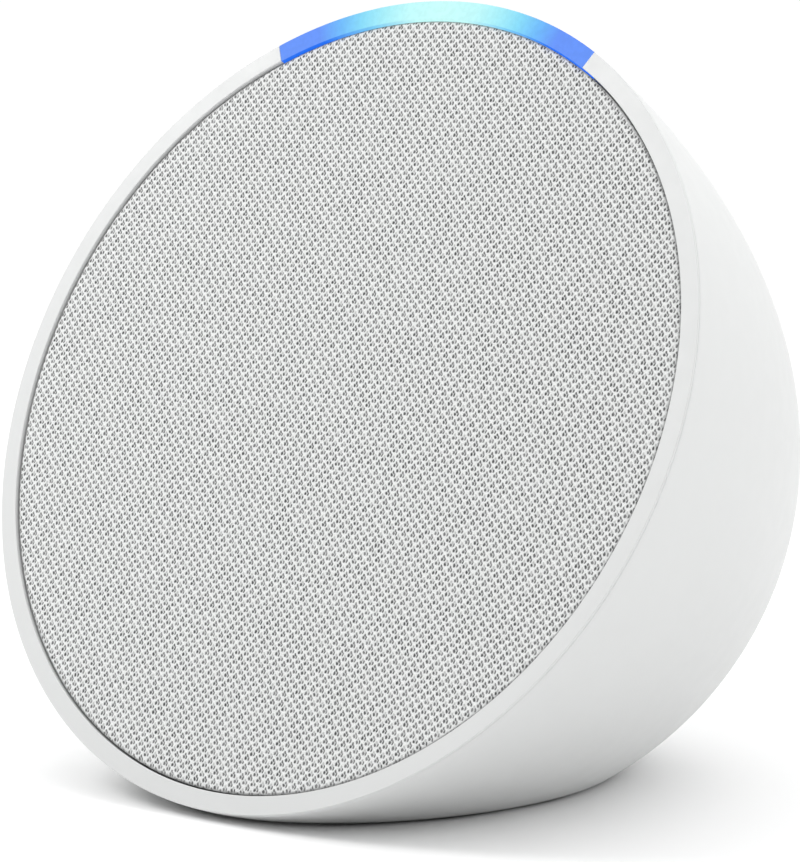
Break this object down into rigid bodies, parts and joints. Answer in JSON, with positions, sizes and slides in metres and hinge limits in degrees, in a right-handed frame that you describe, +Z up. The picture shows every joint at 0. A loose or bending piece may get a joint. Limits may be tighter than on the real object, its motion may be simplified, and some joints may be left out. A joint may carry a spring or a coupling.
{
  "type": "smart speaker",
  "caption": "Compact table-top smart speaker: round knit front tilted back on a white domed shell, light bar in the rim, three top keys.",
  "frame": {"origin": "on the table under the middle of the object's box", "axes": "+X to the right seen from the back, along the width; the round front faces -Y, tilted up 25 degrees; +Z up"},
  "size_m": [0.099, 0.0829, 0.0909],
  "materials": {
    "white_plastic": "fine matt moulded white",
    "light_guide": "translucent, lit blue",
    "fabric": "light grey knit",
    "grey_plastic": "matt moulded",
    "black_plastic": "matt moulded",
    "foot_rubber": "matt",
    "soft_rubber": "matt",
    "foam": "open cell foam",
    "paper_cone": "pressed pulp",
    "plated_steel": "zinc plated",
    "ferrite": "sintered",
    "copper": "enamelled wire",
    "circuit_board": "solder mask",
    "white_led": "smooth",
    "shield_can": "plain",
    "red_wire": "smooth",
    "black_wire": "smooth",
    "flat_cable": "film",
    "spider_cloth": "resin treated cloth"
  },
  "bodies": {
    "housing": {"rear_shell": "white_plastic", "front_bezel": "white_plastic", "light_bar": "light_guide", "grille_fabric": "fabric", "grille_frame": "grey_plastic", "foot_pad": "foot_rubber", "volume_down_switch": "black_plastic", "mute_switch": "black_plastic", "volume_up_switch": "black_plastic", "button_board": "circuit_board", "microphone_1": "shield_can", "microphone_2": "shield_can", "microphone_seal_1": "soft_rubber", "microphone_seal_2": "soft_rubber", "light_board": "circuit_board", "light_foam": "foam", "light_emitter_1": "white_led", "light_emitter_2": "white_led", "light_emitter_3": "white_led", "light_emitter_4": "white_led", "baffle": "grey_plastic", "chassis_screw_1": "plated_steel", "chassis_screw_2": "plated_steel", "chassis_screw_3": "plated_steel", "chassis_screw_4": "plated_steel", "driver_basket": "black_plastic", "driver_gasket": "foam", "driver_screw_1": "plated_steel", "driver_screw_2": "plated_steel", "driver_screw_3": "plated_steel", "driver_screw_4": "plated_steel", "surround": "soft_rubber", "spider": "spider_cloth", "top_plate": "plated_steel", "magnet": "ferrite", "pole_yoke": "plated_steel", "speaker_chamber": "grey_plastic", "main_board": "circuit_board", "processor_shield": "shield_can", "bulk_capacitor": "shield_can", "ribbon_connector": "white_led", "power_inlet": "black_plastic", "flat_cable": "flat_cable", "speaker_wire_red": "red_wire", "speaker_wire_black": "black_wire", "power_wire_red": "red_wire", "power_wire_black": "black_wire", "antenna_lead": "black_wire", "wifi_antenna": "flat_cable", "ballast_plate": "plated_steel", "base_screw_1": "plated_steel", "base_screw_2": "plated_steel", "base_screw_3": "plated_steel", "base_screw_4": "plated_steel"},
    "volume_down_key": {"volume_down_button": "white_plastic"},
    "mute_key": {"mute_button": "white_plastic"},
    "volume_up_key": {"volume_up_button": "white_plastic"},
    "cone_assembly": {"speaker_cone": "paper_cone", "dust_cap": "paper_cone", "voice_coil": "copper"}
  },
  "joints": [
    {"name": "volume_down_press", "type": "slide", "parent": "housing", "child": "volume_down_key", "axis": [0.3331, -0.5923, -0.7336], "range_m": [0, 0.0005], "stiffness_N_per_m": 1500, "springref_m": -0.0003},
    {"name": "mute_press", "type": "slide", "parent": "housing", "child": "mute_key", "axis": [0, -0.6171, -0.7869], "range_m": [0, 0.0005], "stiffness_N_per_m": 1500, "springref_m": -0.0003},
    {"name": "volume_up_press", "type": "slide", "parent": "housing", "child": "volume_up_key", "axis": [-0.3331, -0.5923, -0.7336], "range_m": [0, 0.0005], "stiffness_N_per_m": 1500, "springref_m": -0.0003},
    {"name": "cone_travel", "type": "slide", "parent": "housing", "child": "cone_assembly", "axis": [0, -0.9063, 0.4226], "range_m": [-0.0015, 0.0015], "stiffness_N_per_m": 1200, "deforming": ["surround", "spider"]}
  ]
}
